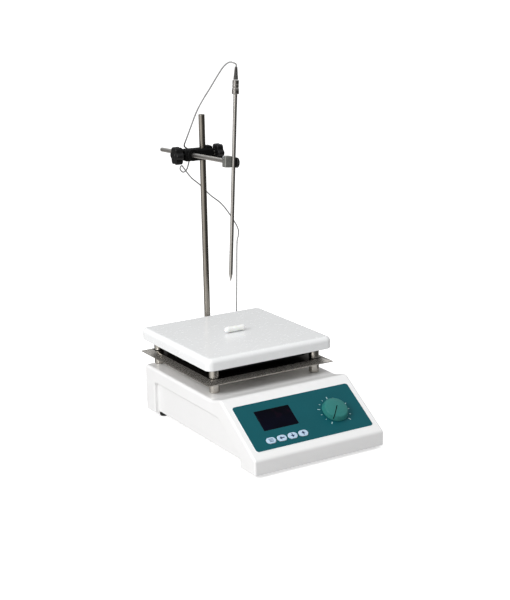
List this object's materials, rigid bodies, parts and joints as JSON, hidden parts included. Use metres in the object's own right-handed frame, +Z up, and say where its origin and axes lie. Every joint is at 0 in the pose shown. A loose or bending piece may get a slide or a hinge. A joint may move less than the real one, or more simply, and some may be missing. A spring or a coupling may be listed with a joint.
{
  "type": "hotplate magnetic stirrer",
  "caption": "Hotplate magnetic stirrer with square white plate, sloping control panel, support rod, boss head, arm, clamp and cabled temperature probe.",
  "frame": {"origin": "point where the stirring axis, the vertical line through the middle of the square heating plate and the motor shaft, meets the bench; it is also the middle of the overall box's bottom", "axes": "+Z up along the stirring axis, -Y towards the front lip and the sloping panel, +X to the user's right"},
  "size_m": [0.192, 0.414, 0.482],
  "materials": {
    "white_enamel": "stoved white enamel, fine orange peel, half gloss",
    "white_ceramic": "smooth white ceramic coating",
    "teal_overlay": "printed polycarbonate overlay, satin",
    "teal_knob": "moulded, fine satin",
    "black_window": "polished",
    "pale_key": "satin",
    "steel": "turned and polished stainless steel",
    "shield_steel": "bright rolled stainless sheet",
    "zinc_plate": "zinc plated",
    "black_plastic": "moulded, fine grain",
    "grey_alloy": "bead blasted and anodised grey",
    "black_rubber": "matt",
    "green_board": "solder resist over glass laminate",
    "brass": "plain",
    "magnet": "nickel plated",
    "insulation": "fibre board, rough",
    "white_ptfe": "smooth, waxy",
    "grey_cable": "extruded sheath, satin"
  },
  "bodies": {
    "base": {"housing_shell": "white_enamel", "bottom_cover": "zinc_plate", "foot_front_left": "black_rubber", "foot_front_right": "black_rubber", "foot_rear_left": "black_rubber", "foot_rear_right": "black_rubber", "control_panel": "teal_overlay", "display_window": "black_window", "display_module": "black_plastic", "control_board": "green_board", "speed_encoder": "zinc_plate", "drive_motor": "zinc_plate", "motor_bracket": "zinc_plate", "power_board": "green_board", "top_plate": "white_ceramic", "heating_element": "steel", "insulation_pad": "insulation", "heater_cover": "black_plastic", "heat_shield": "shield_steel", "upper_post_front_left": "steel", "upper_post_front_right": "steel", "upper_post_rear_left": "steel", "upper_post_rear_right": "steel", "lower_post_front_left": "steel", "lower_post_front_right": "steel", "lower_post_rear_left": "steel", "lower_post_rear_right": "steel", "plate_sensor": "brass", "power_inlet": "black_plastic", "power_switch_frame": "black_plastic", "probe_socket": "steel", "probe_plug": "black_plastic", "rod_bracket": "zinc_plate", "rod_lock_nut": "steel", "probe_cable_lower": "grey_cable"},
    "speed_dial": {"speed_knob": "teal_knob", "encoder_shaft": "zinc_plate"},
    "menu_key": {"button_menu": "pale_key"},
    "back_key": {"button_back": "pale_key"},
    "down_key": {"button_down": "pale_key"},
    "up_key": {"button_up": "pale_key"},
    "rotor": {"motor_shaft": "steel", "magnet_hub": "zinc_plate", "magnet_left": "magnet", "magnet_right": "magnet"},
    "bar": {"stir_bar": "white_ptfe"},
    "rocker": {"power_rocker": "black_plastic"},
    "rod": {"support_rod": "steel"},
    "boss": {"boss_head": "black_plastic"},
    "rod_screw": {"rod_clamp_screw": "steel"},
    "rod_knob": {"rod_clamp_knob": "black_plastic"},
    "arm_screw": {"arm_clamp_screw": "steel"},
    "arm_knob": {"arm_clamp_knob": "black_plastic"},
    "arm": {"probe_arm": "steel"},
    "clamp": {"probe_clamp": "grey_alloy"},
    "clamp_nut": {"probe_clamp_nut": "black_plastic"},
    "probe": {"probe_tube": "steel", "probe_ferrule": "steel", "probe_strain_relief": "black_plastic", "probe_cable_upper": "grey_cable"}
  },
  "joints": [
    {"name": "speed_turn", "type": "hinge", "parent": "base", "child": "speed_dial", "pos_m": [0.0465, -0.16868, 0.04845], "axis": [0, 0.5533, -0.833], "range_deg": [0, 282]},
    {"name": "menu_press", "type": "slide", "parent": "base", "child": "menu_key", "axis": [0, 0.5533, -0.833], "range_m": [0, 0.0006], "stiffness_N_per_m": 1500, "springref_m": -0.0003},
    {"name": "back_press", "type": "slide", "parent": "base", "child": "back_key", "axis": [0, 0.5533, -0.833], "range_m": [0, 0.0006], "stiffness_N_per_m": 1500, "springref_m": -0.0003},
    {"name": "down_press", "type": "slide", "parent": "base", "child": "down_key", "axis": [0, 0.5533, -0.833], "range_m": [0, 0.0006], "stiffness_N_per_m": 1500, "springref_m": -0.0003},
    {"name": "up_press", "type": "slide", "parent": "base", "child": "up_key", "axis": [0, 0.5533, -0.833], "range_m": [0, 0.0006], "stiffness_N_per_m": 1500, "springref_m": -0.0003},
    {"name": "rotor_spin", "type": "hinge", "parent": "base", "child": "rotor", "pos_m": [0, 0, 0.0575], "axis": [0, 0, 1], "continuous": true},
    {"name": "bar_spin", "type": "hinge", "parent": "base", "child": "bar", "pos_m": [0, 0, 0.1258], "axis": [0, 0, 1], "continuous": true},
    {"name": "power_rock", "type": "hinge", "parent": "base", "child": "rocker", "pos_m": [-0.014, 0.0845, 0.04], "axis": [-1, 0, 0], "range_deg": [0, 16]},
    {"name": "stand_swing", "type": "hinge", "parent": "base", "child": "rod", "pos_m": [0.015, 0.103, 0.1], "axis": [0, 0, 1], "range_deg": [-60, 60], "deforming": ["probe_cable_lower"]},
    {"name": "boss_slide", "type": "slide", "parent": "rod", "child": "boss", "axis": [0, 0, 1], "range_m": [-0.035, 0.04]},
    {"name": "rod_screw_feed", "type": "slide", "parent": "boss", "child": "rod_screw", "axis": [0.9962, -0.0872, 0], "range_m": [0, 0.0025]},
    {"name": "rod_knob_turn", "type": "hinge", "parent": "rod_screw", "child": "rod_knob", "pos_m": [0.03692, 0.10108, 0.3495], "axis": [0.9962, -0.0872, 0], "range_deg": [0, 720]},
    {"name": "arm_screw_feed", "type": "slide", "parent": "boss", "child": "arm_screw", "axis": [-0.9962, 0.0872, 0], "range_m": [0, 0.0025]},
    {"name": "arm_knob_turn", "type": "hinge", "parent": "arm_screw", "child": "arm_knob", "pos_m": [-0.02286, 0.10631, 0.3495], "axis": [-0.9962, 0.0872, 0], "range_deg": [0, 720]},
    {"name": "arm_slide", "type": "slide", "parent": "boss", "child": "arm", "axis": [-0.087, -0.9948, 0.0523], "range_m": [-0.07, 0.085], "deforming": ["probe_cable_upper"]},
    {"name": "clamp_tilt", "type": "hinge", "parent": "arm", "child": "clamp", "pos_m": [-0.01409, -0.01725, 0.35591], "axis": [-0.087, -0.9948, 0.0523], "range_deg": [-40, 40]},
    {"name": "clamp_nut_turn", "type": "hinge", "parent": "clamp", "child": "clamp_nut", "pos_m": [-0.00133, -0.01327, 0.35346], "axis": [0.9928, -0.091, -0.0784], "range_deg": [0, 720]},
    {"name": "probe_slide", "type": "slide", "parent": "clamp", "child": "probe", "axis": [0.0827, 0.0451, 0.9956], "range_m": [-0.025, 0.12]}
  ],
  "couplings": [
    {"joint": "bar_spin", "follows": "rotor_spin", "ratio": 1},
    {"joint": "rod_screw_feed", "follows": "rod_knob_turn", "m_per_rad": 0.00019894},
    {"joint": "arm_screw_feed", "follows": "arm_knob_turn", "m_per_rad": 0.00019894}
  ]
}
